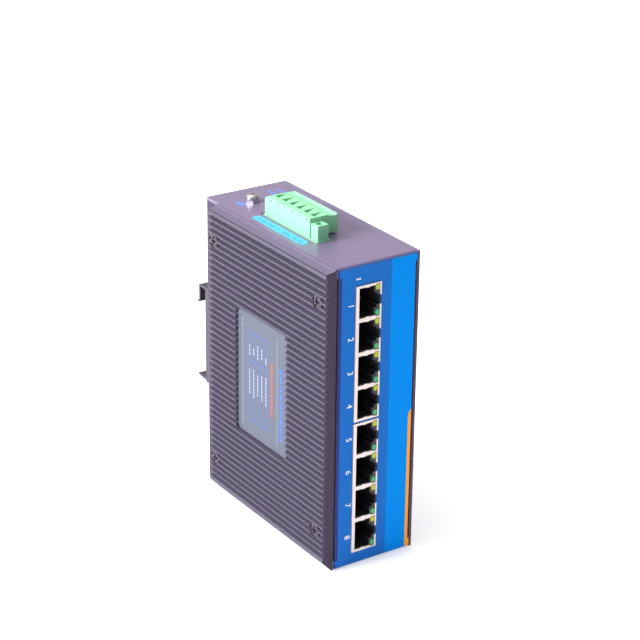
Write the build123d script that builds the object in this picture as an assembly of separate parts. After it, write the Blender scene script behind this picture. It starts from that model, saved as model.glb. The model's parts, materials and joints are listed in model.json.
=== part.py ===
from build123d import *
import os

# Industrial ethernet switch for a 35 mm rail: a folded sheet box whose left side is a thick
# ribbed aluminium extrusion, eight network sockets in front, a pluggable terminal on top.
# All sizes are in millimetres.
# Box coordinates: x from the box's left face to the right, y from the front print to the back,
# z up from the underside. write() moves each piece to the part's own origin, which is the
# centre of the whole object's underside.

# Network sockets, two gangs of four
PORT_PITCH = 13.97
PORTS_PER_GANG = 4
GANG_END = 7.125
GANG_GAP = 0.92
GANG_HEAD = 8.74
GANG_FOOT = 5.42
GANG_H = 2 * GANG_END + (PORTS_PER_GANG - 1) * PORT_PITCH
SOCKET_X = 8.6
SOCKET_H = 11.6
SOCKET_D = 21.0
SOCKET_PROUD = 0.4
SHIELD_T = 0.4
WINDOW_LEFT = 1.4
WINDOW_RIGHT = 0.6
WINDOW_W = 12.4
FINGER_W = 1.6
FINGER_H = 0.25
CAVITY_D = 13.0
CAVITY_W = 11.7
CAVITY_H = 7.0
LATCH_W = (6.2, 3.9)
LATCH_H = (1.2, 1.3)
LATCH_NOTCH_D = 6.5
CONTACTS = 8
CONTACT_PITCH = 1.016
CONTACT_W = 0.45
CONTACT_T = 0.3
CONTACT_RISE = 1.9
CONTACT_START = 4.0
CONTACT_TOE = 0.9
LED_H = 2.0
LED_W = 2.3
LED_D = 5.0
LED_SINK = 0.25
LED_R = 0.9

# Box, as high as its two gangs of sockets need
BOX_W = 38.0
BOX_D = 94.0
BOX_H = GANG_FOOT + 2 * GANG_H + GANG_GAP + GANG_HEAD
SHEET = 1.0
BEND = 1.3
REAR_EDGE = 0.3
FIT = 0.1
FRONT_W = BOX_W - SHEET
INNER_TOP = BOX_H - SHEET

# Ribbed side extrusion
RIB_PLATE_T = 4.9
RIB_DEPTH = 1.55
RIB_PITCH = 2.69
RIB_TIP = 0.6
RIB_DROP = 0.45
RIB_LOWEST_Z = 7.0
RIB_BACK_GAP = 9.0
RIB_LENGTH = BOX_D - RIB_BACK_GAP
RIB_BASE_T = RIB_PLATE_T - RIB_DEPTH
SHOULDER_IN = 1.6
SHOULDER_DROP = 0.75
SHOULDER_FALL = 0.5
BEVEL_RISE = 4.7
BEVEL_FOOT = 0.6
SHOULDER_FLAT = 0.5
CREASE_H = 0.35
CREASE_DEPTH = 0.5
RIB_ROOM = BOX_H - SHOULDER_DROP - SHOULDER_FALL - CREASE_H - RIB_LOWEST_Z
RIB_COUNT = int(RIB_ROOM / RIB_PITCH)

# Corner screws, their folded tabs and the press-in nuts behind them
CORNER_Y = 6.6
CORNER_REAR_IN = 3.5
CORNER_REAR_Y = RIB_LENGTH - CORNER_REAR_IN
CORNER_RISE = 16.3
CORNER_DROP = 14.1
TAB_W = 16.0
TAB_H = 21.0
TAB_R = 4.0
FRONT_FLANGE_D = 12.0
FLANGE_H = 6.0
SCREW_R = 1.45
SCREW_HEAD_R = 2.75
SCREW_HEAD_H = 1.5
SCREW_CROWN = 0.35
SCREW_CROWN_R = 1.65
SCREW_SINK = 0.6
NUT_R = 2.9
NUT_T = 3.0
CROSS = (3.4, 0.75)
CROSS_TIP = (1.1, 0.4)
CROSS_DEPTH = 1.1
SLOT_W = 0.5
SLOT_DEPTH = 0.75

# Front print
PRINT_T = 0.3
PRINT_TOP_GAP = 0.4
PRINT_TAB_H = 3.9
PRINT_TAB_IN = 0.6
PRINT_TAB_IN_RIGHT = 0.2
PRINT_MID_IN = 1.2
PRINT_MID_IN_RIGHT = 0.9

# Circuit board and what stands on it
BOARD_T = 1.6
BOARD_X = (SOCKET_X - BOARD_T, SOCKET_X)
BOARD_R = 1.5
BOARD_FRONT = 3.0
BOARD_BACK_GAP = 6.0
BOARD_FOOT = 4.5
BOARD_HEAD = 5.4
BOARD_Y = (BOARD_FRONT, BOX_D - BOARD_BACK_GAP)
BOARD_Z = (BOARD_FOOT, BOX_H - BOARD_HEAD)
STANDOFF_R = 2.9
STANDOFF_STUD = 2.4
STANDOFF_IN = 6.5
STANDOFF_REAR_Y = BOARD_Y[1] - STANDOFF_IN
STANDOFF_AT = ((37.0, 10.0), (37.0, 104.0), (STANDOFF_REAR_Y, 30.0), (STANDOFF_REAR_Y, 98.0))
BOARD_SCREW_HEAD_R = 2.7
BOARD_SCREW_HEAD_H = 1.9
BOARD_SCREW_ROUND = 0.85
BOARD_SCREW_GRIP = 3.5
CHIP_SIDE = 16.0
CHIP_T = 1.4
CHIP_AT = (46.0, 66.0)
PAD_T = 0.8
SPREADER_SIDE = 26.0
TRANSFORMER = (6.0, 10.0, 22.0)
TRANSFORMER_Y = 28.5
CAPACITOR_R = 4.0
CAPACITOR_H = 12.0
CAPACITOR_ROUND = 0.8
CAPACITOR_IN = (12.0, 22.0)
CAPACITOR_Z = (108.0, 86.0, 97.0)
INDUCTOR = (5.0, 10.0, 10.0)
INDUCTOR_CORNER = 1.7
INDUCTOR_AT = ((26.0, 80.0), (10.0, 70.0))
CRYSTAL = (3.5, 11.0, 4.6)
CRYSTAL_R = 2.25
CRYSTAL_AT = (46.0, 48.0)
LAMP = (2.4, 1.6, 1.2)
LIGHT_PIPE = (2.2, 0.7)
LIGHT_PIPE_DROP = 5.75
LIGHT_PIPE_Z = BOX_H - LIGHT_PIPE_DROP
LIGHT_PIPE_L = 14.0

# Supply terminal: header on the board, plug on top of it
WAYS = 6
WAY_PITCH = 5.0
PLUG_Y = 48.0
PLUG_X = 8.9
PLUG_W = 13.0
PLUG_H = 8.3
PLUG_FLAT = 8.2
PLUG_STEP = 0.7
PLUG_STEP_DROP = 0.4
PLUG_DROP = 0.8
PLUG_RIDGE_W = 1.1
PLUG_RIDGE_TOP_W = 0.5
PLUG_RIDGE_H = 0.5
PLUG_END_L = 2.0
PLUG_END_DROP = 1.0
PLUG_LIFT = 0.3
EAR_W = 4.9
EAR_H = 6.5
EAR_INSET = 0.5
EAR_HOLE_R = 1.4
EAR_SCREW_RISE = 2.2
EAR_SCREW_GRIP = 5.4
HEADER_W = 6.5
HEADER_WALL = 0.9
HEADER_H = 10.9
HEADER_PROUD = 0.3
HEADER_FRONT = 0.5
HEADER_REAR = 0.7
HEADER_GAP = 0.3
OPENING_REAR = 1.6
TONGUE_DROP = 7.6
FUNNEL_X = 2.8
FUNNEL_L = 5.5
FUNNEL_W = 2.9
FUNNEL_DEPTH = 2.8
FUNNEL_END = 0.7
FUNNEL_MIDDLE = (1.7, 1.7)
PROBE_R = 0.45
PROBE_DEPTH = 1.5
PROBE_DROP = 1.2
CAGE = (5.4, 3.9, 4.3)
CAGE_FLOOR = 1.0
CAGE_WIRE_R = 1.25
CLAMP_SCREW_R = 1.4
CLAMP_SINK = 0.8
CLAMP_GRIP = 1.8
PIN_R = 0.5
PIN_BEND = 1.0
PIN_TOP = 8.5
PIN_BELOW = 1.6
PIN_THROUGH = 1.2

# Earth screw on top
EARTH_AT = (12.9, 79.6)
EARTH_R = 1.45
EARTH_HEAD_R = 2.6
EARTH_HEAD_H = 1.8
EARTH_HEAD_ROUND = 1.2
EARTH_WASHER_R = 3.1
EARTH_WASHER_T = 1.4
EARTH_NUT_R = 2.9
EARTH_NUT_T = 3.0

# Label plate in its pocket
LABEL_Y = 46.1
LABEL_Z = 64.1
LABEL_W = 36.0
LABEL_H = 53.0
LABEL_R = 2.0
LABEL_T = 0.35
LABEL_GAP = 0.25

# Rail clip on the back
CLIP_X = 1.0
CLIP_RIGHT_IN = 2.0
CLIP_W = BOX_W - CLIP_X - CLIP_RIGHT_IN
CLIP_PLATE_T = 3.7
CLIP_FOOT = 2.0
RAIL_SEAT_Z = 45.5
RAIL_H = 35.0
RAIL_TRAVEL = 4.9
LEDGE_REACH = 9.7
LEDGE_TIP_T = 0.7
LEDGE_ROOT_T = 1.4
HOOK_SLOT = 4.0
HOOK_LIP_T = 1.0
HOOK_TOP_T = 1.1
HOOK_LIP_H = 7.4
HOOK_FLARE = 1.6
HOOK_FLARE_H = 1.6
HOOK_ROUND = 1.0
SPRING_T = 0.4
SPRING_IN = 2.0
SPRING_H = 6.4
SPRING_OPEN = 1.8
CLIP_SCREW_Z = (56.0, 73.0)

# The part's origin under the middle of everything
HOOK_REACH = CLIP_PLATE_T + HOOK_SLOT + HOOK_LIP_T + HOOK_FLARE
TOTAL_W = RIB_PLATE_T + BOX_W
TOTAL_D = SOCKET_PROUD + BOX_D + HOOK_REACH
ORIGIN = Pos(RIB_PLATE_T - TOTAL_W / 2, SOCKET_PROUD - TOTAL_D / 2, 0)


def block(x, y, z):
    """A box from its low and high values along each axis."""
    size = (x[1] - x[0], y[1] - y[0], z[1] - z[0])
    return Pos(x[0], y[0], z[0]) * Box(*size, align=(Align.MIN, Align.MIN, Align.MIN))


def rod(start, direction, radius, length, far_radius=None):
    """A round bar or cone that runs from a point along +X, -X, +Y, -Y or +Z, -Z."""
    plane = Plane(origin=start, z_dir=direction)
    low = (Align.CENTER, Align.CENTER, Align.MIN)
    if far_radius is None:
        return plane * Cylinder(radius, length, align=low)
    return plane * Cone(radius, far_radius, length, align=low)


def along_y(points, y, length):
    """A closed outline of (x, z) points, pushed back from y by a length."""
    outline = make_face(Polyline(*[(px, y, pz) for px, pz in points], close=True))
    return extrude(outline, amount=length, dir=(0, 1, 0))


def along_x(points, x, length):
    """A closed outline of (y, z) points, pushed right from x by a length."""
    outline = make_face(Polyline(*[(x, py, pz) for py, pz in points], close=True))
    return extrude(outline, amount=length, dir=(1, 0, 0))


def write(node, *solids):
    """Put a node's solids at the part's origin and write them as one file."""
    placed = [ORIGIN * solid for shape in solids for solid in shape.solids()]
    export_step(placed[0] if len(placed) == 1 else Compound(children=placed), f"parts/{node}.step")


def port_heights():
    """The height of each socket's middle, from port 1 down."""
    upper = BOX_H - GANG_HEAD
    tops = (upper, upper - GANG_H - GANG_GAP)
    return [[top - GANG_END - n * PORT_PITCH for n in range(PORTS_PER_GANG)] for top in tops]


def corner_points():
    """(y, z) of the four corner screws on either side."""
    return [(y, z) for y in (CORNER_Y, CORNER_REAR_Y) for z in (CORNER_RISE, BOX_H - CORNER_DROP)]


def way_places():
    """The y of each terminal way, from the front."""
    return [plug_span()[0] + (n + 0.5) * WAY_PITCH for n in range(WAYS)]


def cross_recess(start, direction, depth):
    """The cutter for a cross-head screw: two tapered slots that meet at a point."""
    plane = Plane(origin=start, z_dir=direction)
    slots = []
    for turn in (0, 90):
        wide = plane * Rot(0, 0, turn) * Rectangle(*CROSS)
        deep = plane * Pos(0, 0, depth) * Rot(0, 0, turn) * Rectangle(*CROSS_TIP)
        slots.append(loft([wide.face(), deep.face()]))
    return slots[0] + slots[1]


def turned(start, direction, outline):
    """A solid turned about a direction, from its (radius, distance along it) outline."""
    face = make_face(Polyline(*[(radius, 0, along) for radius, along in outline], close=True))
    return Plane(origin=start, z_dir=direction) * revolve(face, Axis.Z)


def flush_screw(head_at, direction, length, crown=0):
    """A countersunk cross-head screw; head_at is the middle of its rim, direction its shank."""
    outline = [(0, -crown), (SCREW_CROWN_R, -crown), (SCREW_HEAD_R, 0), (SCREW_R, SCREW_HEAD_H),
               (SCREW_R, length), (0, length)]
    screw = turned(head_at, direction, outline)
    top = tuple(Vector(*head_at) - Vector(*direction) * crown)
    return screw - cross_recess(top, direction, CROSS_DEPTH + crown)


def screw_seat(head_at, direction, length):
    """The cutter for a countersunk screw's head and shank."""
    reach = SCREW_R + FIT
    return turned(head_at, direction, [
        (0, 0), (SCREW_HEAD_R + FIT, 0), (reach, SCREW_HEAD_H), (reach, length), (0, length)])


# Ribbed side

def rib_outline():
    """The extrusion's section: a smooth shoulder, saw-tooth ribs and a bevelled foot."""
    tip = -RIB_PLATE_T
    valley = -RIB_BASE_T
    top = BOX_H - SHOULDER_DROP
    points = [(0, 0), (-BEVEL_FOOT, 0), (tip, BEVEL_RISE)]
    for rib in range(RIB_COUNT):
        root = RIB_LOWEST_Z + rib * RIB_PITCH
        over = root - RIB_DROP + RIB_PITCH - RIB_TIP
        points += [(tip, root - RIB_DROP), (valley, root), (tip, over)]
    land = top - SHOULDER_FALL
    crease = tip + CREASE_DEPTH
    points += [(tip, land - CREASE_H), (crease, land - CREASE_H), (crease, land), (tip, land)]
    return points + [(-SHOULDER_IN, top), (-SHOULDER_FLAT, BOX_H - FIT), (0, BOX_H - FIT)]


def side_extrusion():
    plate = along_y(rib_outline(), 0, RIB_LENGTH)
    half_w = LABEL_W / 2 + LABEL_GAP
    half_h = LABEL_H / 2 + LABEL_GAP
    pocket = block((-RIB_PLATE_T, -RIB_BASE_T), (LABEL_Y - half_w, LABEL_Y + half_w),
                   (LABEL_Z - half_h, LABEL_Z + half_h))
    plate -= fillet(pocket.edges().filter_by(Axis.X), LABEL_R + LABEL_GAP)
    rim = -RIB_PLATE_T + SCREW_SINK
    for y, z in corner_points():
        plate -= rod((rim, y, z), (-1, 0, 0), SCREW_HEAD_R + FIT, SCREW_SINK)
        plate -= screw_seat((rim, y, z), (1, 0, 0), -rim)
    for y, z in STANDOFF_AT:
        plate -= rod((0, y, z), (-1, 0, 0), SCREW_R + FIT, STANDOFF_STUD + FIT)
    return plate


def label_plate():
    plate = block((-RIB_BASE_T - LABEL_T, -RIB_BASE_T), (LABEL_Y - LABEL_W / 2, LABEL_Y + LABEL_W / 2),
                  (LABEL_Z - LABEL_H / 2, LABEL_Z + LABEL_H / 2))
    return fillet(plate.edges().filter_by(Axis.X), LABEL_R)


# Folded sheets

def gang_box(heights, grow, y):
    """The outer block of one gang of sockets, grown all round by a clearance."""
    low = heights[-1] - GANG_END - grow
    high = heights[0] + GANG_END + grow
    return block((SOCKET_X - grow, SOCKET_X + SOCKET_H + grow), y, (low, high))


def front_openings(y):
    """What is cut out of the front sheet and of the print on it."""
    slot_x = (SOCKET_X - FIT, SOCKET_X + LIGHT_PIPE[0] + FIT)
    half = LIGHT_PIPE[1] / 2 + FIT
    cut = block(slot_x, y, (LIGHT_PIPE_Z - half, LIGHT_PIPE_Z + half))
    for heights in port_heights():
        cut += gang_box(heights, 2 * FIT, y)
    return cut


def rear_tab(x, z):
    """The folded tab of one rear corner screw, with rounded corners."""
    up = z < BOX_H / 2
    low, high = (SHEET, SHEET + TAB_H) if up else (INNER_TOP - TAB_H, INNER_TOP)
    tab = block(x, (RIB_LENGTH - TAB_W, RIB_LENGTH), (low, high))
    ends = tab.edges().filter_by(Axis.X).group_by(Axis.Z)[-1 if up else 0]
    return fillet(ends, TAB_R)


def front_shell():
    """Top, front and bottom folded from one sheet, with side flanges and corner tabs."""
    back = BOX_D - SHEET
    outer = block((0, FRONT_W), (PRINT_T, back), (0, BOX_H))
    outer = fillet(outer.edges().filter_by(Axis.X).group_by(Axis.Y)[0], BEND)
    inner = block((0, FRONT_W), (PRINT_T + SHEET, back), (SHEET, INNER_TOP))
    inner = fillet(inner.edges().filter_by(Axis.X).group_by(Axis.Y)[0], BEND - SHEET)
    shell = outer - inner
    relief_z = (PRINT_TAB_H, BOX_H - PRINT_TAB_H)
    relief_y = (PRINT_T, PRINT_T + SHEET)
    shell -= block((0, PRINT_MID_IN), relief_y, relief_z)
    shell -= block((FRONT_W - PRINT_MID_IN_RIGHT, FRONT_W), relief_y, relief_z)
    front = PRINT_T + BEND
    for x in ((0, SHEET), (FRONT_W - SHEET, FRONT_W)):
        shell += block(x, (front, front + FRONT_FLANGE_D), (SHEET, INNER_TOP))
        shell += block(x, (front, RIB_LENGTH), (SHEET, FLANGE_H))
        shell += block(x, (front, RIB_LENGTH), (BOX_H - FLANGE_H, INNER_TOP))
        for z in (CORNER_RISE, BOX_H - CORNER_DROP):
            shell += rear_tab(x, z)
    shell -= front_openings((PRINT_T, PRINT_T + SHEET))
    shell -= block((FRONT_W + SHEET - BEND, FRONT_W), (BOX_D - BEND, BOX_D), (0, BOX_H))
    for y, z in corner_points():
        shell -= rod((0, y, z), (1, 0, 0), SCREW_R + FIT, SHEET)
        shell -= screw_seat((BOX_W, y, z), (-1, 0, 0), 2 * SHEET)
    low_y, high_y = header_span()
    shell -= block((SOCKET_X - HEADER_GAP, SOCKET_X + HEADER_W + HEADER_GAP),
                   (low_y - HEADER_GAP, high_y + OPENING_REAR), (INNER_TOP, BOX_H))
    return shell - rod((*EARTH_AT, INNER_TOP), (0, 0, 1), EARTH_R + FIT, SHEET)


def side_cover():
    """Right side and back folded from one sheet, with a return flange at the back left edge."""
    back = BOX_D - SHEET
    outer = block((0, BOX_W), (0, BOX_D), (0, BOX_H))
    outer = fillet(outer.edges().filter_by(Axis.Z).sort_by(Axis.Y)[-2:].sort_by(Axis.X)[-1], BEND)
    outer = fillet(outer.edges().filter_by(Axis.Z).sort_by(Axis.X)[:2].sort_by(Axis.Y)[-1], REAR_EDGE)
    inner = block((SHEET, FRONT_W), (0, back), (0, BOX_H))
    inner = fillet(inner.edges().filter_by(Axis.Z).sort_by(Axis.Y)[-2:].sort_by(Axis.X)[-1], BEND - SHEET)
    cover = outer - inner - block((0, SHEET), (0, RIB_LENGTH + FIT), (0, BOX_H))
    for z in ((0, SHEET + FIT), (INNER_TOP - FIT, BOX_H)):
        cover -= block((0, SHEET), (0, back), z)
    for y, z in corner_points():
        cover -= screw_seat((BOX_W, y, z), (-1, 0, 0), 2 * SHEET)
    for z in CLIP_SCREW_Z:
        cover -= rod((CLIP_X + CLIP_W / 2, BOX_D, z), (0, -1, 0), SCREW_R + FIT, SHEET)
    return cover


def front_print():
    """The printed film on the front, stepped in beside its top and bottom tabs."""
    left, right = PRINT_TAB_IN, FRONT_W - PRINT_TAB_IN_RIGHT
    low, high = PRINT_TOP_GAP, BOX_H - PRINT_TOP_GAP
    film = block((left, right), (0, PRINT_T), (low, high))
    middle = (PRINT_TAB_H, BOX_H - PRINT_TAB_H)
    film -= block((left, PRINT_MID_IN), (0, PRINT_T), middle)
    film -= block((FRONT_W - PRINT_MID_IN_RIGHT, right), (0, PRINT_T), middle)
    return film - front_openings((0, PRINT_T))


# Screws and nuts of the box

def side_screws(head_x, way):
    """Four corner screws, from the left (way 1) or from the right (way -1)."""
    nut_end = SHEET + NUT_T if way > 0 else FRONT_W - SHEET - NUT_T
    length = abs(nut_end - head_x)
    crown = SCREW_CROWN if way > 0 else 0
    return [flush_screw((head_x, y, z), (way, 0, 0), length, crown) for y, z in corner_points()]


def press_nut(start, direction):
    nut = rod(start, direction, NUT_R, NUT_T)
    return nut - rod(start, direction, SCREW_R + FIT, NUT_T)


def press_nuts():
    nuts = []
    for y, z in corner_points():
        nuts.append(press_nut((SHEET, y, z), (1, 0, 0)))
        nuts.append(press_nut((FRONT_W - SHEET, y, z), (-1, 0, 0)))
    for z in CLIP_SCREW_Z:
        nuts.append(press_nut((CLIP_X + CLIP_W / 2, BOX_D - SHEET, z), (0, -1, 0)))
    return nuts


# Network sockets

def shield(heights):
    """The tinned shell of one gang: five closed sides and a front with the windows."""
    can = gang_box(heights, 0, (-SOCKET_PROUD, SOCKET_D))
    inside = gang_box(heights, -SHIELD_T, (-SOCKET_PROUD + SHIELD_T, SOCKET_D - SHIELD_T))
    can -= inside
    front = (-SOCKET_PROUD, -SOCKET_PROUD + SHIELD_T)
    left, right = SOCKET_X + WINDOW_LEFT, SOCKET_X + SOCKET_H - WINDOW_RIGHT
    for z in heights:
        can -= block((left, right), front, (z - WINDOW_W / 2, z + WINDOW_W / 2))
        half = GANG_END - SHIELD_T - FIT
        can -= block((right - LED_H, right), front, (z - half, z + half))
        can -= block((right, SOCKET_X + SOCKET_H), (-SOCKET_PROUD, LATCH_NOTCH_D),
                     (z - LATCH_W[1] / 2, z + LATCH_W[1] / 2))
        for side in (-1, 1):
            edge = z + side * WINDOW_W / 2
            finger_z = sorted((edge, edge - side * FINGER_H))
            middle = (left + right) / 2 - LED_H / 2
            can += block((middle - FINGER_W / 2, middle + FINGER_W / 2), front, finger_z)
    return can


def led_places(z):
    """The (x, z) low corner of the upper and the lower lamp of a socket."""
    x = SOCKET_X + SOCKET_H - WINDOW_RIGHT - LED_H
    half = WINDOW_W / 2 + FINGER_H / 2
    return (x, z + half - LED_W), (x, z - half)


def socket_body(heights):
    """The black insulator of one gang, with a stepped cavity for each plug."""
    front = -SOCKET_PROUD + SHIELD_T
    body = gang_box(heights, -SHIELD_T, (front, SOCKET_D - SHIELD_T))
    left = SOCKET_X + WINDOW_LEFT + FIT
    for z in heights:
        steps = [(0, CAVITY_H, CAVITY_W),
                 (CAVITY_H, CAVITY_H + LATCH_H[0], LATCH_W[0]),
                 (CAVITY_H, CAVITY_H + LATCH_H[0] + LATCH_H[1], LATCH_W[1])]
        for low, high, width in steps:
            body -= block((left + low, left + high), (front, CAVITY_D), (z - width / 2, z + width / 2))
        for x, low in led_places(z):
            body -= block((x - FIT, x + LED_H + FIT), (front, LED_D), (low - FIT, low + LED_W + FIT))
    return body


def contacts():
    """Eight sprung wires in each socket, from the cavity's floor to its back wall."""
    left = SOCKET_X + WINDOW_LEFT + FIT
    wires = []
    profile = [(CONTACT_START, left), (CONTACT_START + CONTACT_TOE, left),
               (CAVITY_D, left + CONTACT_RISE), (CAVITY_D, left + CONTACT_RISE + CONTACT_T)]
    for z in [z for gang in port_heights() for z in gang]:
        for n in range(CONTACTS):
            low = z + (n - (CONTACTS - 1) / 2) * CONTACT_PITCH - CONTACT_W / 2
            outline = make_face(Polyline(*[(px, py, low) for py, px in profile], close=True))
            wires.append(extrude(outline, amount=CONTACT_W, dir=(0, 0, 1)))
    return wires


def socket_leds(which):
    """The eight lamps of one colour: the upper (0) or the lower (1) in each socket."""
    front = -SOCKET_PROUD + SHIELD_T - LED_SINK
    lamps = []
    for z in [z for gang in port_heights() for z in gang]:
        x, low = led_places(z)[which]
        lamp = block((x, x + LED_H), (front, LED_D), (low, low + LED_W))
        lamps.append(fillet(lamp.edges().filter_by(Axis.Y), LED_R))
    return lamps


# Circuit board

def on_board(size, y, z):
    """A component's block on the board's right face, from its (x, y, z) size."""
    x = (BOARD_X[1], BOARD_X[1] + size[0])
    return block(x, (y - size[1] / 2, y + size[1] / 2), (z - size[2] / 2, z + size[2] / 2))


def pin_height():
    return header_floor() - PIN_BELOW


def main_board():
    board = block(BOARD_X, BOARD_Y, BOARD_Z)
    board = fillet(board.edges().filter_by(Axis.X), BOARD_R)
    for y, z in STANDOFF_AT:
        board -= rod((BOARD_X[0], y, z), (1, 0, 0), SCREW_R + FIT, BOARD_T)
    for y in way_places():
        board -= rod((BOARD_X[0], y, pin_height()), (1, 0, 0), PIN_R + FIT, BOARD_T)
    return board


def standoffs():
    """Hexagonal pillars between the extrusion and the board, with a stud on the left."""
    pillars = []
    for y, z in STANDOFF_AT:
        plane = Plane(origin=(0, y, z), z_dir=(1, 0, 0))
        pillar = extrude(plane * RegularPolygon(STANDOFF_R, 6), amount=BOARD_X[0])
        pillar -= rod((BOARD_X[0], y, z), (-1, 0, 0), SCREW_R + FIT, BOARD_X[0] - SHEET)
        pillars.append(pillar + rod((0, y, z), (-1, 0, 0), SCREW_R, STANDOFF_STUD))
    return pillars


def board_screws():
    screws = []
    for y, z in STANDOFF_AT:
        x = BOARD_X[1]
        head = rod((x, y, z), (1, 0, 0), BOARD_SCREW_HEAD_R, BOARD_SCREW_HEAD_H)
        head = fillet(head.edges().group_by(Axis.X)[-1], BOARD_SCREW_ROUND)
        head -= cross_recess((x + BOARD_SCREW_HEAD_H, y, z), (-1, 0, 0), CROSS_DEPTH)
        screws.append(head + rod((x, y, z), (-1, 0, 0), SCREW_R, BOARD_T + BOARD_SCREW_GRIP))
    return screws


def under_board(side, x):
    """A square piece between the board and the extrusion, centred on the switch chip."""
    y, z = CHIP_AT
    return block(x, (y - side / 2, y + side / 2), (z - side / 2, z + side / 2))


def transformers():
    pieces = []
    for heights in port_heights():
        for pair in (heights[:2], heights[2:]):
            pieces.append(on_board(TRANSFORMER, TRANSFORMER_Y, sum(pair) / 2))
    return pieces


def capacitors():
    """Round cans near the board's rear edge: two in a row and one before them."""
    near, far = [BOARD_Y[1] - inset for inset in CAPACITOR_IN]
    cans = []
    for y, z in zip((near, near, far), CAPACITOR_Z):
        can = rod((BOARD_X[1], y, z), (1, 0, 0), CAPACITOR_R, CAPACITOR_H)
        cans.append(fillet(can.edges().group_by(Axis.X)[-1], CAPACITOR_ROUND))
    return cans


def inductors():
    pieces = [on_board(INDUCTOR, BOARD_Y[1] - inset, z) for inset, z in INDUCTOR_AT]
    return [chamfer(piece.edges().filter_by(Axis.X), INDUCTOR_CORNER) for piece in pieces]


def crystal():
    can = on_board(CRYSTAL, *CRYSTAL_AT)
    return fillet(can.edges().filter_by(Axis.X), CRYSTAL_R)


def light_pipe():
    half = LIGHT_PIPE[1] / 2
    return block((SOCKET_X, SOCKET_X + LIGHT_PIPE[0]), (-FIT, LIGHT_PIPE_L),
                 (LIGHT_PIPE_Z - half, LIGHT_PIPE_Z + half))


def power_lamp():
    return on_board(LAMP, LIGHT_PIPE_L + LAMP[1] / 2, LIGHT_PIPE_Z - LIGHT_PIPE[1] / 2)


# Supply terminal

def plug_span():
    """The front and rear ends of the plug's body: its ways, then a blank end."""
    half = (WAYS * WAY_PITCH + PLUG_END_L) / 2
    return PLUG_Y - half, PLUG_Y + half


def ear_span():
    return plug_span()[0] - EAR_W, plug_span()[0]


def ear_x():
    return PLUG_X + EAR_INSET, PLUG_X + EAR_INSET + EAR_W


def ear_middle():
    return sum(ear_x()) / 2, sum(ear_span()) / 2


def header_span():
    """The header's front and rear ends."""
    return ear_span()[0] - HEADER_FRONT, plug_span()[1] + HEADER_REAR


def header_middle():
    return SOCKET_X + HEADER_W / 2


def header_top():
    return BOX_H + HEADER_PROUD


def header_floor():
    return header_top() - HEADER_H


def header():
    """An open tray on the board's edge, with a solid flange under the plug's ear."""
    low, high = header_span()
    x = (SOCKET_X, SOCKET_X + HEADER_W)
    tray = block(x, (low, high), (header_floor(), header_top()))
    inner_y = (ear_span()[1] + HEADER_WALL, high - HEADER_WALL)
    tray -= block((x[0] + HEADER_WALL, x[1] - HEADER_WALL), inner_y,
                  (header_floor() + HEADER_WALL, header_top()))
    for y in way_places():
        tray -= rod((header_middle(), y, header_floor()), (0, 0, 1), PIN_R + FIT, HEADER_WALL)
    return tray - rod((*ear_middle(), header_top()), (0, 0, -1), EAR_HOLE_R, EAR_SCREW_GRIP + FIT)


def header_pins():
    """Six right-angle pins from the board's far side up into the header."""
    pins = []
    for y in way_places():
        path = FilletPolyline(
            (BOARD_X[0] - PIN_THROUGH, y, pin_height()), (header_middle(), y, pin_height()),
            (header_middle(), y, header_floor() + PIN_TOP), radius=PIN_BEND)
        pins.append(sweep(Plane(origin=path @ 0, z_dir=path % 0) * Circle(PIN_R), path))
    return pins


def plug_outline():
    """The plug's section above the header: flat, stepped down, with a ridge at the right."""
    low, high = header_top(), BOX_H + PLUG_H
    right = PLUG_X + PLUG_W
    flat = PLUG_X + PLUG_FLAT
    return [(PLUG_X, low), (PLUG_X, high), (flat, high), (flat + PLUG_STEP, high - PLUG_STEP_DROP),
            (right - PLUG_RIDGE_W, high - PLUG_DROP),
            (right - PLUG_RIDGE_TOP_W, high - PLUG_DROP + PLUG_RIDGE_H),
            (right, high - PLUG_DROP + PLUG_RIDGE_H), (right, low + PLUG_LIFT),
            (SOCKET_X + HEADER_W, low + PLUG_LIFT), (SOCKET_X + HEADER_W, low)]


def cage_box(y, grow):
    """The room of one wire cage, right of the header's middle and under the funnel."""
    x = PLUG_X + FUNNEL_X - FIT
    z = header_top() + CAGE_FLOOR
    return block((x - grow, x + CAGE[0] + grow), (y - CAGE[1] / 2 - grow, y + CAGE[1] / 2 + grow),
                 (z - grow, z + CAGE[2] + grow))


def funnel(y):
    """The wire way of one pole: a triangle in the top that narrows down to the cage."""
    top = BOX_H + PLUG_H
    corner = (PLUG_X + FUNNEL_X, y - FUNNEL_W / 2)
    mouth = [(0, 0), (0, FUNNEL_W), (FUNNEL_L, FUNNEL_W)]
    ends = []
    for depth, scale in ((0, 1), (FUNNEL_DEPTH, FUNNEL_END)):
        outline = []
        for point in mouth:
            px, py = [at + mid + (p - mid) * scale for at, mid, p in zip(corner, FUNNEL_MIDDLE, point)]
            outline.append((px, py, top - depth))
        ends.append(make_face(Polyline(*outline, close=True)))
    return loft(ends)


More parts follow.
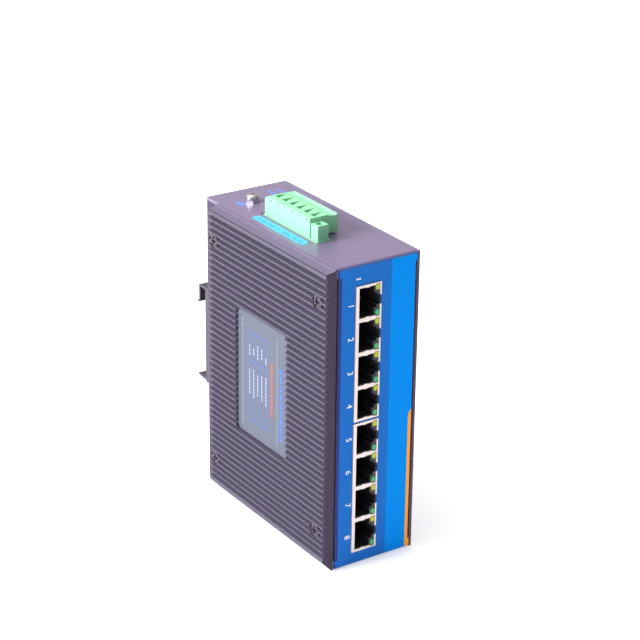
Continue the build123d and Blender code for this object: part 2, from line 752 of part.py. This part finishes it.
def plug():
    """The green plug: body, ear, tongue, wire ways, cages' rooms, screw and test holes."""
    front, rear = plug_span()
    low, high = header_top() - TONGUE_DROP, BOX_H + PLUG_H
    right = PLUG_X + PLUG_W
    body = along_y(plug_outline(), front, rear - front)
    body -= block((PLUG_X, right), (rear - PLUG_END_L, rear), (high - PLUG_END_DROP, high))
    inset = HEADER_WALL + FIT
    body += block((SOCKET_X + inset, SOCKET_X + HEADER_W - inset),
                  (front + inset, header_span()[1] - inset), (low, header_top()))
    body += block(ear_x(), ear_span(), (header_top(), BOX_H + EAR_H))
    body -= rod((*ear_middle(), header_top()), (0, 0, 1), EAR_HOLE_R, EAR_H)
    for y in way_places():
        body -= cage_box(y, FIT) + funnel(y)
        body -= rod((PLUG_X, y, high - PROBE_DROP), (1, 0, 0), PROBE_R, PROBE_DEPTH)
        body -= rod((right, y, cage_middle()), (-1, 0, 0), CLAMP_SCREW_R + FIT, right - cage_right())
        depth = header_floor() + PIN_TOP + FIT - low
        body -= rod((header_middle(), y, low), (0, 0, 1), PIN_R + FIT, depth)
    return body


def cage_middle():
    return header_top() + CAGE_FLOOR + CAGE[2] / 2


def cage_right():
    return PLUG_X + FUNNEL_X - FIT + CAGE[0]


def wire_cages():
    """A brass clamp in each way, open upwards to the wire and tapped for its screw."""
    cages = []
    for y in way_places():
        mouth = (PLUG_X + FUNNEL_X + FUNNEL_MIDDLE[0], y, cage_middle())
        cage = cage_box(y, 0) - rod(mouth, (0, 0, 1), CAGE_WIRE_R, CAGE[2])
        screw = (cage_right(), y, cage_middle())
        cages.append(cage - rod(screw, (-1, 0, 0), CLAMP_SCREW_R - FIT, CLAMP_GRIP + FIT))
    return cages


def clamp_screws():
    """Slotted screws in the plug's right side, each turned into its cage."""
    screws = []
    head_x = PLUG_X + PLUG_W - CLAMP_SINK
    z = cage_middle()
    for y in way_places():
        screw = rod((head_x, y, z), (-1, 0, 0), CLAMP_SCREW_R, head_x - cage_right())
        screw += rod((cage_right(), y, z), (-1, 0, 0), CLAMP_SCREW_R - 2 * FIT, CLAMP_GRIP)
        screws.append(screw - block((head_x - SLOT_DEPTH, head_x), (y - CLAMP_SCREW_R, y + CLAMP_SCREW_R),
                                    (z - SLOT_W / 2, z + SLOT_W / 2)))
    return screws


def ear_screw():
    """The captive screw that holds the plug's ear down on the header's flange."""
    x, y = ear_middle()
    head_z = header_top() + EAR_SCREW_RISE
    screw = rod((x, y, head_z), (0, 0, -1), EAR_HOLE_R - FIT, EAR_SCREW_RISE + EAR_SCREW_GRIP)
    return screw - block((x - EAR_HOLE_R, x + EAR_HOLE_R), (y - SLOT_W / 2, y + SLOT_W / 2),
                         (head_z - SLOT_DEPTH, head_z))


# Earth screw

def earth_washer():
    """A hexagonal washer on the top sheet."""
    plane = Plane(origin=(*EARTH_AT, BOX_H), z_dir=(0, 0, 1))
    washer = extrude(plane * RegularPolygon(EARTH_WASHER_R, 6), amount=EARTH_WASHER_T)
    return washer - rod((*EARTH_AT, BOX_H), (0, 0, 1), EARTH_R + FIT, EARTH_WASHER_T)


def earth_screw():
    seat = BOX_H + EARTH_WASHER_T
    head = rod((*EARTH_AT, seat), (0, 0, 1), EARTH_HEAD_R, EARTH_HEAD_H)
    head = fillet(head.edges().group_by(Axis.Z)[-1], EARTH_HEAD_ROUND)
    head -= cross_recess((*EARTH_AT, seat + EARTH_HEAD_H), (0, 0, -1), CROSS_DEPTH)
    length = EARTH_WASHER_T + SHEET + EARTH_NUT_T
    return head + rod((*EARTH_AT, seat), (0, 0, -1), EARTH_R, length)


def earth_nut():
    nut = rod((*EARTH_AT, INNER_TOP), (0, 0, -1), EARTH_NUT_R, EARTH_NUT_T)
    return nut - rod((*EARTH_AT, INNER_TOP), (0, 0, -1), EARTH_R + FIT, EARTH_NUT_T)


# Rail clip

def hook_ceiling():
    return RAIL_SEAT_Z + RAIL_H + RAIL_TRAVEL


def rail_clip():
    """One profile: a plate, a hook over the rail's upper edge and a ledge under its lower edge."""
    plate = BOX_D + CLIP_PLATE_T
    lip_in = plate + HOOK_SLOT
    lip_out = lip_in + HOOK_LIP_T
    flare = lip_out + HOOK_FLARE
    ceiling = hook_ceiling()
    lip_low = ceiling - HOOK_LIP_H
    foot = RAIL_SEAT_Z - CLIP_FOOT
    ledge = BOX_D + LEDGE_REACH
    points = [
        (BOX_D, foot), (plate, foot), (plate, RAIL_SEAT_Z - LEDGE_ROOT_T),
        (ledge, RAIL_SEAT_Z - LEDGE_TIP_T), (ledge, RAIL_SEAT_Z), (plate, RAIL_SEAT_Z),
        (plate, ceiling), (lip_in, ceiling), (lip_in, lip_low + HOOK_FLARE_H / 2),
        (flare - HOOK_LIP_T / 2, lip_low), (flare, lip_low + HOOK_LIP_T / 2),
        (lip_out, lip_low + HOOK_FLARE_H), (lip_out, ceiling + HOOK_TOP_T), (BOX_D, ceiling + HOOK_TOP_T)]
    clip = along_x(points, CLIP_X, CLIP_W)
    crown = clip.edges().filter_by(Axis.X).sort_by(Axis.Z)[-2:].sort_by(Axis.Y)[-1]
    clip = fillet(crown, HOOK_ROUND)
    for z in CLIP_SCREW_Z:
        x = CLIP_X + CLIP_W / 2
        clip -= screw_seat((x, plate, z), (0, -1, 0), CLIP_PLATE_T)
    return clip


def rail_spring():
    """A hairpin leaf that stands in the hook: one leg on the plate, the other bowed to the lip."""
    near = BOX_D + CLIP_PLATE_T
    far = near + SPRING_OPEN
    top = hook_ceiling()
    low = top - SPRING_H
    points = [
        (near, low), (near + SPRING_T, low - SPRING_T), (near + SPRING_OPEN / 2, low - SPRING_T),
        (far, low + SPRING_OPEN / 2), (far, top), (far - SPRING_T, top),
        (far - SPRING_T, low + SPRING_OPEN / 2), (near + SPRING_OPEN / 2, low),
        (near + SPRING_T, low + SPRING_T), (near + SPRING_T, top), (near, top)]
    return along_x(points, CLIP_X + SPRING_IN, CLIP_W - 2 * SPRING_IN)


def clip_screws():
    plate = BOX_D + CLIP_PLATE_T
    length = CLIP_PLATE_T + SHEET + NUT_T
    return [flush_screw((CLIP_X + CLIP_W / 2, plate, z), (0, -1, 0), length) for z in CLIP_SCREW_Z]


def main():
    os.makedirs("parts", exist_ok=True)
    upper, lower = port_heights()
    write("side_extrusion", side_extrusion())
    write("label_plate", label_plate())
    write("front_shell", front_shell())
    write("side_cover", side_cover())
    write("front_print", front_print())
    write("side_screws", *side_screws(-RIB_PLATE_T + SCREW_SINK, 1))
    write("cover_screws", *side_screws(BOX_W, -1))
    write("press_nuts", *press_nuts())
    write("socket_shield_upper", shield(upper))
    write("socket_shield_lower", shield(lower))
    write("socket_body_upper", socket_body(upper))
    write("socket_body_lower", socket_body(lower))
    write("socket_contacts", *contacts())
    write("link_lamps", *socket_leds(0))
    write("activity_lamps", *socket_leds(1))
    write("main_board", main_board())
    write("board_standoffs", *standoffs())
    write("board_screws", *board_screws())
    chip_x = (BOARD_X[0] - CHIP_T, BOARD_X[0])
    pad_x = (chip_x[0] - PAD_T, chip_x[0])
    write("switch_chip", under_board(CHIP_SIDE, chip_x))
    write("thermal_pad", under_board(CHIP_SIDE, pad_x))
    write("heat_spreader", under_board(SPREADER_SIDE, (0, pad_x[0])))
    write("line_transformers", *transformers())
    write("capacitors", *capacitors())
    write("power_inductors", *inductors())
    write("crystal", crystal())
    write("light_pipe", light_pipe())
    write("power_lamp", power_lamp())
    write("terminal_header", header())
    write("header_pins", *header_pins())
    write("terminal_plug", plug())
    write("wire_cages", *wire_cages())
    write("clamp_screws", *clamp_screws())
    write("ear_screw", ear_screw())
    write("earth_washer", earth_washer())
    write("earth_screw", earth_screw())
    write("earth_nut", earth_nut())
    write("rail_clip", rail_clip())
    write("rail_spring", rail_spring())
    write("clip_screws", *clip_screws())


if __name__ == "__main__":
    main()
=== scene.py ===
import math
import bpy
from mathutils import Matrix, Vector
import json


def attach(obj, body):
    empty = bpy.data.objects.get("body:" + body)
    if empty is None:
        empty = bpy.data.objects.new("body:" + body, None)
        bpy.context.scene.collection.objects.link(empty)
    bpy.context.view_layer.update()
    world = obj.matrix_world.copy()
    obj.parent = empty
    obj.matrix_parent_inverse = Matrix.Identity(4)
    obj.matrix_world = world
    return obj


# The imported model, with its bounds for the record of sizes
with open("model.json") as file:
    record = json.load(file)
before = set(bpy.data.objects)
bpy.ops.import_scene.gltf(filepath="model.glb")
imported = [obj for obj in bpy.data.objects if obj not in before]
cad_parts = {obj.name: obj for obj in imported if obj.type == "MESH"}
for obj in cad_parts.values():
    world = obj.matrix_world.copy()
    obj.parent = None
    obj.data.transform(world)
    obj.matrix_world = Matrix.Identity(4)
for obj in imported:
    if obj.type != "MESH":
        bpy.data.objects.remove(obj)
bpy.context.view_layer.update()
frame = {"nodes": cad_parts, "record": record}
nodes = frame["nodes"]


def node_box(name):
    """The low and the high corner of a node, in the frame's millimetres."""
    corners = [nodes[name].matrix_world @ Vector(corner) for corner in nodes[name].bound_box]
    low = Vector([min(corner[axis] for corner in corners) for axis in range(3)])
    high = Vector([max(corner[axis] for corner in corners) for axis in range(3)])
    return low * 1000, high * 1000


# Everything here is placed in box coordinates, in millimetres: x from the box's left face,
# y from its front, z from its underside. The side cover spans the whole box, so its low
# corner is where they start. at() turns them into the frame's metres.
bpy.context.view_layer.update()
BOX_START, BOX_END = node_box("side_cover")
BOX_W, BOX_D, BOX_H = BOX_END - BOX_START
PRINT_LIFT = 0.03
LIFT_MORE = 2 * PRINT_LIFT


def at(x, y, z):
    return (Vector((x, y, z)) + BOX_START) / 1000


def linear(red, green, blue):
    """A linear colour from the three 0-255 values seen on a screen."""
    def one(value):
        value /= 255
        return value / 12.92 if value <= 0.04045 else ((value + 0.055) / 1.055) ** 2.4
    return one(red), one(green), one(blue), 1.0


# Materials

COAT_ROUGH = 0.12
GRAIN_RISE = 1 / 4000
MOTTLE_BAND = (0.35, 0.65)


def shaded(colour, factor):
    """A screen colour as a linear one, times a factor."""
    return tuple(min(1, value * factor) for value in linear(*colour)[:3]) + (1,)


def surface(name, colour, rough=0.5, metal=0.0, coat=0.0, grain=None, mottle=None, glow=0.0, shine=0.5):
    """A finish. grain is (size in mm, depth) of a bump, mottle the same of a change in colour."""
    made = bpy.data.materials.new(name)
    made.use_nodes = True
    tree = made.node_tree
    shader = tree.nodes["Principled BSDF"]
    shader.inputs["Base Color"].default_value = linear(*colour)
    shader.inputs["Roughness"].default_value = rough
    shader.inputs["Metallic"].default_value = metal
    shader.inputs["Specular IOR Level"].default_value = shine
    shader.inputs["Coat Weight"].default_value = coat
    shader.inputs["Coat Roughness"].default_value = COAT_ROUGH
    if glow:
        shader.inputs["Emission Color"].default_value = linear(*colour)
        shader.inputs["Emission Strength"].default_value = glow
    if grain or mottle:
        place = tree.nodes.new("ShaderNodeTexCoord")
    if grain:
        noise = tree.nodes.new("ShaderNodeTexNoise")
        noise.inputs["Scale"].default_value = 1000 / grain[0]
        noise.inputs["Detail"].default_value = 2
        bump = tree.nodes.new("ShaderNodeBump")
        bump.inputs["Strength"].default_value = grain[1]
        bump.inputs["Distance"].default_value = grain[0] * GRAIN_RISE
        tree.links.new(place.outputs["Object"], noise.inputs["Vector"])
        tree.links.new(noise.outputs["Fac"], bump.inputs["Height"])
        tree.links.new(bump.outputs["Normal"], shader.inputs["Normal"])
    if mottle:
        noise = tree.nodes.new("ShaderNodeTexNoise")
        noise.inputs["Scale"].default_value = 1000 / mottle[0]
        noise.inputs["Detail"].default_value = 3
        ramp = tree.nodes.new("ShaderNodeValToRGB")
        factors = (1 - mottle[1], 1 + mottle[1])
        for stop, position, factor in zip(ramp.color_ramp.elements, MOTTLE_BAND, factors):
            stop.position = position
            stop.color = shaded(colour, factor)
        tree.links.new(place.outputs["Object"], noise.inputs["Vector"])
        tree.links.new(noise.outputs["Fac"], ramp.inputs["Fac"])
        tree.links.new(ramp.outputs["Color"], shader.inputs["Base Color"])
    return made


FINISH = {
    "extrusion": surface("extrusion", (66, 60, 79), 0.5, 0.1, grain=(0.35, 0.45), mottle=(0.5, 0.25)),
    "case_sheet": surface("case_sheet", (122, 108, 138), 0.36, 0.3, grain=(0.25, 0.06), mottle=(0.4, 0.05)),
    "print_film": surface("print_film", (16, 103, 189), 0.5, shine=0.1),
    "label_film": surface("label_film", (75, 80, 95), 0.45, grain=(0.3, 0.08), shine=0.3),
    "screw_steel": surface("screw_steel", (196, 188, 194), 0.24, 1.0),
    "shield_tin": surface("shield_tin", (222, 208, 204), 0.4, 0.3, grain=(0.8, 0.05)),
    "socket_black": surface("socket_black", (34, 33, 40), 0.45),
    "contact_gold": surface("contact_gold", (206, 170, 96), 0.28, 1.0),
    "lamp_yellow": surface("lamp_yellow", (162, 170, 6), 0.3, coat=0.2, glow=0.06),
    "lamp_green": surface("lamp_green", (44, 150, 92), 0.3, coat=0.2, glow=0.05),
    "clear_plastic": surface("clear_plastic", (196, 206, 224), 0.3, coat=0.2),
    "board_green": surface("board_green", (24, 84, 46), 0.4, coat=0.3),
    "component_black": surface("component_black", (28, 28, 31), 0.5, grain=(0.2, 0.1)),
    "can_metal": surface("can_metal", (205, 205, 210), 0.3, 1.0),
    "pad_grey": surface("pad_grey", (120, 124, 132), 0.8),
    "terminal_green": surface("terminal_green", (132, 200, 156), 0.42, grain=(0.3, 0.03), shine=0.4),
    "clip_metal": surface("clip_metal", (66, 60, 74), 0.45, 0.4, grain=(0.3, 0.15)),
}
# Print colours, the dull screw steel, and painted light and shade for flat patches
PRINT_AND_PAINTED_LIGHT = {
    "bright_blue": surface("bright_blue", (0, 134, 228), 0.5, shine=0.03),
    "orange": surface("orange", (250, 158, 18), 0.42, shine=0.1),
    "white": surface("white", (244, 244, 250), 0.5),
    "light_blue": surface("light_blue", (78, 166, 214), 0.5, shine=0.2),
    "oval_blue": surface("oval_blue", (96, 124, 196), 0.5, shine=0.2),
    "label_blue": surface("label_blue", (64, 94, 176), 0.5, shine=0.2),
    "label_pale": surface("label_pale", (118, 124, 136), 0.5, shine=0.2),
    "label_orange": surface("label_orange", (158, 76, 42), 0.5, shine=0.2),
    "label_white": surface("label_white", (132, 138, 150), 0.5, shine=0.2),
    # Painted shade: the dark tone of the extrusion's sawn ends and of the case strip behind the ribs
    "painted_shade_dark": surface("painted_shade_dark", (70, 61, 79), 0.6, shine=0.1),
    "navy": surface("navy", (34, 32, 124), 0.45, shine=0.2),
    # Painted shade: the dark tone of the film's top band and of the cover's front edge
    "painted_shade_edge": surface("painted_shade_edge", (84, 68, 80), 0.6, shine=0.2),
    "dull_steel": surface("dull_steel", (80, 72, 86), 0.28, 0.9),
    "paint_mark": surface("paint_mark", (92, 134, 200), 0.5, shine=0.2),
    "bar_mark": surface("bar_mark", (64, 134, 200), 0.5, shine=0.2),
    # Painted light: a lighter copy of the extrusion's finish for its up-facing shoulder
    "shoulder": surface("shoulder", (98, 88, 113), 0.4, 0.2, grain=(0.3, 0.2)),
}

for part in frame["record"]["subparts"]:
    node = nodes[part["node"]]
    node.data.materials.clear()
    node.data.materials.append(FINISH[part["material_slot"]])
for name in ("side_screws", "cover_screws"):
    nodes[name].data.materials.clear()
    nodes[name].data.materials.append(PRINT_AND_PAINTED_LIGHT["dull_steel"])


# Pieces made here

def add(name, mesh, material):
    """A finished piece from a mesh in the frame's metres."""
    obj = bpy.data.objects.new(name, mesh)
    bpy.context.scene.collection.objects.link(obj)
    mesh.materials.append(material)
    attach(obj, "root")
    return obj


def patches(name, faces, material):
    """Flat shapes, printed or painted with light and shade: each face is a list of box-coordinate points in
    order.
    """
    mesh = bpy.data.meshes.new(name)
    points = []
    loops = []
    for face in faces:
        loops.append(range(len(points), len(points) + len(face)))
        points += [at(*point) for point in face]
    mesh.from_pydata(points, [], [list(loop) for loop in loops])
    mesh.validate()
    return add(name, mesh, material)


def front_face(points):
    """(x, z) points on the front, for print and painted shade, in order seen from the front."""
    return [(x, -PRINT_LIFT, z) for x, z in points]


def front_rect(left, right, low, high):
    return front_face([(left, low), (right, low), (right, high), (left, high)])


def pill(centre, half_long, half_wide, steps=16):
    """(across, along) points of a bar with round ends."""
    across, along = centre
    points = []
    for end in (1, -1):
        for step in range(steps + 1):
            turn = math.pi * step / steps
            points.append((across + end * half_wide * math.cos(turn),
                           along + end * (half_long - half_wide + half_wide * math.sin(turn))))
    return points


# Front print: bright field, orange stripe, navy edges, painted shade along the film's top and down the
# cover's front edge, and the socket numbers

FILM_IN = 0.5
TAB_H = 3.9
FIELD_X = 25.0
TAB_RIGHT = 36.75
WAIST_RIGHT = 36.05
STRIPE_X = (34.6, 36.0)
STRIPE_TOP = (59.6, 61.5)
NAVY_TAB_X = (0.65, 1.1)
NAVY_WAIST_X = (1.25, 2.2)
BROW_X = (0.6, 36.8)
BROW_Z = (126.6, 127.0)
COVER_EDGE = 1.0
FILM_TOP = BOX_H - FILM_IN
WAIST_TOP = BOX_H - TAB_H


def band(tab_x, waist_x):
    """A strip of the film's outline: two short tabs, and the waist between them."""
    return [front_rect(*tab_x, WAIST_TOP, FILM_TOP), front_rect(*waist_x, TAB_H, WAIST_TOP),
            front_rect(*tab_x, FILM_IN, TAB_H)]


def raised(points):
    """(x, z) points of a print, or of painted shade, over another print."""
    return [(x, -LIFT_MORE, z) for x, z in points]


field = band((FIELD_X, TAB_RIGHT), (FIELD_X, WAIST_RIGHT))
patches("print_bright", field, PRINT_AND_PAINTED_LIGHT["bright_blue"])
stripe = [(STRIPE_X[0], TAB_H), (STRIPE_X[1], TAB_H), (STRIPE_X[1], STRIPE_TOP[1]),
          (STRIPE_X[0], STRIPE_TOP[0])]
stripe_foot = [(STRIPE_X[0], FILM_IN), (TAB_RIGHT, FILM_IN), (TAB_RIGHT, TAB_H), (STRIPE_X[0], TAB_H)]
patches("print_stripe", [raised(stripe), raised(stripe_foot)], PRINT_AND_PAINTED_LIGHT["orange"])
patches("print_edge", band(NAVY_TAB_X, NAVY_WAIST_X), PRINT_AND_PAINTED_LIGHT["navy"])
# The dark band along the film's top is painted shade in the gap under the top sheet's edge; the strip down
# the cover's front edge is painted shade on that front-facing edge
brow = [(BROW_X[0], BROW_Z[0]), (BROW_X[1], BROW_Z[0]), (BROW_X[1], BROW_Z[1]), (BROW_X[0], BROW_Z[1])]
patches("painted_shade_brow", [raised(brow)], PRINT_AND_PAINTED_LIGHT["painted_shade_edge"])
patches("cover_edge_shade", [front_rect(BOX_W - COVER_EDGE, BOX_W, 0.0, BOX_H)], PRINT_AND_PAINTED_LIGHT["painted_shade_edge"])

NUMBER_X = 6.5
NUMBER_Z = (111.3, 97.6, 83.6, 69.8, 55.5, 41.4, 27.1, 12.8)
NUMBER_SIZE = 3.6
FACING_FRONT = Matrix.Rotation(math.radians(90), 4, "X")
QUARTER = Matrix.Rotation(math.radians(-90), 4, "Z")


def number(text, matrix, name):
    """A printed number as a flat mesh."""
    curve = bpy.data.curves.new(name, "FONT")
    curve.body = text
    curve.size = NUMBER_SIZE / 1000
    curve.align_x = "CENTER"
    curve.align_y = "CENTER"
    lettering = bpy.data.objects.new(name + "_text", curve)
    bpy.context.scene.collection.objects.link(lettering)
    bpy.context.view_layer.update()
    mesh = bpy.data.meshes.new_from_object(lettering)
    bpy.data.objects.remove(lettering)
    mesh.transform(matrix)
    mesh.materials.clear()
    return add(name, mesh, PRINT_AND_PAINTED_LIGHT["white"])


for count, height in enumerate(NUMBER_Z, 1):
    place = Matrix.Translation(at(NUMBER_X, -LIFT_MORE, height))
    number(str(count), place @ FACING_FRONT @ QUARTER, f"number_{count}")


# The ribbed extrusion: painted shade on its sawn ends, darker than its sides because they face away from the
# light, and painted light on the shoulder, lighter because it faces up

RIBS_START, RIBS_END = (corner - BOX_START for corner in node_box("side_extrusion"))
TIP_X = RIBS_START.x
RIB_LENGTH = RIBS_END.y
ROOT_X = -3.35
RIB_FIRST = 7.0
RIB_COUNT = 44
RIB_PITCH = 2.69
RIB_LEDGE = 0.45
RIB_FLANK = 1.64
FOOT = [(0.0, 0.0), (-0.6, 0.0), (TIP_X, 4.7)]
GROOVE = [(TIP_X, 125.8), (-4.4, 125.8), (-4.4, 126.15), (TIP_X, 126.15)]
SLOPE = [(-1.6, 126.65), (-0.5, 127.3)]
SHOULDER_TOP = 127.3
SHOULDER_IN = 0.05

outline = list(FOOT)
for rib in range(RIB_COUNT):
    root = RIB_FIRST + rib * RIB_PITCH
    outline += [(TIP_X, root - RIB_LEDGE), (ROOT_X, root), (TIP_X, root + RIB_FLANK)]
outline += GROOVE + SLOPE + [(0.0, SHOULDER_TOP)]
# Painted shade laid over both sawn ends of the ribs
ends = [[(x, -PRINT_LIFT, z) for x, z in outline],
        [(x, RIB_LENGTH + PRINT_LIFT, z) for x, z in reversed(outline)]]
patches("rib_ends_painted_shade", ends, PRINT_AND_PAINTED_LIGHT["painted_shade_dark"])

# Painted light on the shoulder's up-facing faces
crest = [(TIP_X + SHOULDER_IN, 126.16), *SLOPE, (-0.02, SHOULDER_TOP)]
slopes = []
for low, high in zip(crest, crest[1:]):
    corners = ((low, SHOULDER_IN), (high, SHOULDER_IN), (high, RIB_LENGTH - SHOULDER_IN),
               (low, RIB_LENGTH - SHOULDER_IN))
    slopes.append([(x, y, z + PRINT_LIFT) for (x, z), y in corners])
patches("shoulder_painted_light", slopes, PRINT_AND_PAINTED_LIGHT["shoulder"])

# The narrow strip of the case behind the ribs, painted dark as the shade that falls there
STRIP_Y = (RIB_LENGTH + 0.2, BOX_D - 0.4)
STRIP_Z = (1.3, 126.2)
strip = [(STRIP_Y[0], STRIP_Z[0]), (STRIP_Y[0], STRIP_Z[1]), (STRIP_Y[1], STRIP_Z[1]),
         (STRIP_Y[1], STRIP_Z[0])]
patches("rear_painted_shade", [[(-PRINT_LIFT, y, z) for y, z in strip]], PRINT_AND_PAINTED_LIGHT["painted_shade_dark"])


# Print on the top sheet: a bar with dashes beside the terminal, an oval and two marks

TOP_Z = BOX_H + PRINT_LIFT
BAR = ((4.5, 46.4), 18.2, 2.1)
OVAL = ((7.25, 79.6), 2.6, 1.3)
DASH_X = (3.9, 5.1)
DASHES = ((31.9, 1.2), (35.6, 1.0), (41.6, 2.4), (47.6, 0.5), (52.4, 2.2), (57.6, 1.2), (61.0, 0.8))
MARKS = (((24.9, 87.0), (25.1, 82.2)), ((28.7, 87.2), (29.6, 81.9)))
MARK_HALF = 0.7
MARK_STEP = 2.1
MARK_LONG = 1.6

patches("top_print", [[(x, y, TOP_Z) for x, y in pill(*BAR)]], PRINT_AND_PAINTED_LIGHT["light_blue"])
patches("top_oval", [[(x, y, TOP_Z) for x, y in pill(*OVAL)]], PRINT_AND_PAINTED_LIGHT["oval_blue"])
dashes = []
for y, half in DASHES:
    corners = ((DASH_X[0], y - half), (DASH_X[1], y - half), (DASH_X[1], y + half), (DASH_X[0], y + half))
    dashes.append([(*corner, TOP_Z + PRINT_LIFT) for corner in corners])
patches("top_dashes", dashes, PRINT_AND_PAINTED_LIGHT["bar_mark"])
marks = []
for start, end in MARKS:
    along = Vector((end[0] - start[0], end[1] - start[1])).normalized()
    side = Vector((-along.y, along.x)) * MARK_HALF
    for cut in range(3):
        low = Vector(start) + along * cut * MARK_STEP
        high = low + along * MARK_LONG
        corners = (low - side, high - side, high + side, low + side)
        marks.append([(p.x, p.y, TOP_Z) for p in corners])
patches("top_marks", marks, PRINT_AND_PAINTED_LIGHT["paint_mark"])


# Generic print on the label plate: lines, a table and bars, with no words

LABEL_X = (node_box("label_plate")[0] - BOX_START).x - PRINT_LIFT
EDGE_LINES = ((60.4, 60.8, 40.4, 87.8), (34.9, 35.3, 40.3, 87.5))
TABLE_Y = 41.8
TABLE_STEP = 3.02
TABLE_COLUMNS = 5
TABLE_Z = (44.6, 71.0, 83.3)
TABLE_END = 56.9
LINE_HALF = 0.13
LINE_LIFT = 0.01
CELL_HALF = 0.42
CELL_STEP = 1.6
CELL_LONG = 1.3
BAR_Y = (38.3, 39.5)
SIDE_Y = (31.2, 33.2)


def label_rect(y_low, y_high, z_low, z_high, lift=0.0):
    corners = ((y_high, z_low), (y_low, z_low), (y_low, z_high), (y_high, z_high))
    return [(LABEL_X - lift, y, z) for y, z in corners]


def label_dashes(y_span, start, step, long, number_of):
    """Equal dashes in a column, from start upwards."""
    return [label_rect(*y_span, start + step * dash, start + step * dash + long) for dash in range(number_of)]


patches("label_edges", [label_rect(*line) for line in EDGE_LINES], PRINT_AND_PAINTED_LIGHT["label_pale"])
columns = [TABLE_Y + step * TABLE_STEP for step in range(TABLE_COLUMNS + 1)]
lines = [label_rect(y - LINE_HALF, y + LINE_HALF, TABLE_Z[0], TABLE_Z[-1]) for y in columns]
lines += [label_rect(TABLE_Y, TABLE_END, z - LINE_HALF, z + LINE_HALF, LINE_LIFT) for z in TABLE_Z]
patches("label_table", lines, PRINT_AND_PAINTED_LIGHT["label_blue"])
cells = []
for step in range(TABLE_COLUMNS):
    y = columns[step] + 1.5
    for low, length in ((55.0 + step % 3, 14.0 - 2 * (step % 3)), (73.0 + step % 2, 4.5 + step % 3)):
        count = int(length / CELL_STEP)
        cells += label_dashes((y - CELL_HALF, y + CELL_HALF), low, CELL_STEP, CELL_LONG, count)
patches("label_cells", cells, PRINT_AND_PAINTED_LIGHT["label_white"])
patches("label_bar", label_dashes(BAR_Y, 51.8, 2.16, 1.6, 11), PRINT_AND_PAINTED_LIGHT["label_orange"])
patches("label_side", label_dashes(SIDE_Y, 44.0, 3.6, 2.6, 9), PRINT_AND_PAINTED_LIGHT["label_blue"])


# Stage: a white floor, a sky that is brighter at the left, and soft lights

BRIGHT_SIDE = (-0.6, 0.6, 0.5)
SKY_SPAN = (-0.8, 0.8)
SKY = (0.25, 0.95)
FLOOR = 8
bpy.ops.mesh.primitive_plane_add(size=FLOOR, location=(0, 0, 0))
floor = bpy.context.object
floor.name = "floor"
floor.data.materials.append(surface("floor_white", (235, 235, 235), 0.9, glow=0.4, shine=0.0))

world = bpy.data.worlds.new("studio")
bpy.context.scene.world = world
world.use_nodes = True
tree = world.node_tree
direction = tree.nodes.new("ShaderNodeTexCoord")
split = tree.nodes.new("ShaderNodeVectorMath")
split.operation = "DOT_PRODUCT"
split.inputs[1].default_value = BRIGHT_SIDE
fade = tree.nodes.new("ShaderNodeMapRange")
fade.inputs["From Min"].default_value = SKY_SPAN[0]
fade.inputs["From Max"].default_value = SKY_SPAN[1]
fade.inputs["To Min"].default_value = SKY[0]
fade.inputs["To Max"].default_value = SKY[1]
tree.links.new(direction.outputs["Generated"], split.inputs[0])
tree.links.new(split.outputs["Value"], fade.inputs["Value"])
tree.links.new(fade.outputs["Result"], tree.nodes["Background"].inputs["Strength"])
tree.nodes["Background"].inputs["Color"].default_value = (1.0, 1.0, 1.0, 1)

MIDDLE = Vector((0.0, 0.0, 0.06))


def softbox(name, place, size, watts):
    """A soft white light that looks at the middle of the part."""
    light = bpy.data.lights.new(name, "AREA")
    light.shape = "RECTANGLE"
    light.size, light.size_y = size
    light.energy = watts
    obj = bpy.data.objects.new(name, light)
    bpy.context.scene.collection.objects.link(obj)
    obj.location = place
    obj.rotation_euler = (MIDDLE - Vector(place)).to_track_quat("-Z", "Y").to_euler()


softbox("key", (-1.2, 0.35, 0.75), (0.7, 0.5), 40)
softbox("top", (-0.1, 0.4, 1.5), (1.2, 1.2), 10)

# The camera fitted to the photo: its place in box coordinates, and its three axes

LENS = 116.75
SENSOR = 36
CAMERA_AT = (-404.175, -587.190, 411.422)
RIGHT = Vector((0.83130961, -0.55568948, 0.01155585))
DOWN = Vector((-0.20935298, -0.33231574, -0.91963992))
AHEAD = Vector((0.51487442, 0.76208625, -0.39259252))
camera = bpy.data.cameras.new("camera")
camera.lens = LENS
camera.sensor_width = SENSOR
camera.sensor_fit = "HORIZONTAL"
camera.clip_start = 0.05
camera.clip_end = 20
seen_from = bpy.data.objects.new("camera", camera)
bpy.context.scene.collection.objects.link(seen_from)
turn = Matrix((RIGHT, -DOWN, -AHEAD)).transposed().to_4x4()
seen_from.matrix_world = Matrix.Translation(at(*CAMERA_AT)) @ turn
bpy.context.scene.camera = seen_from
bpy.context.scene.view_settings.view_transform = "Standard"
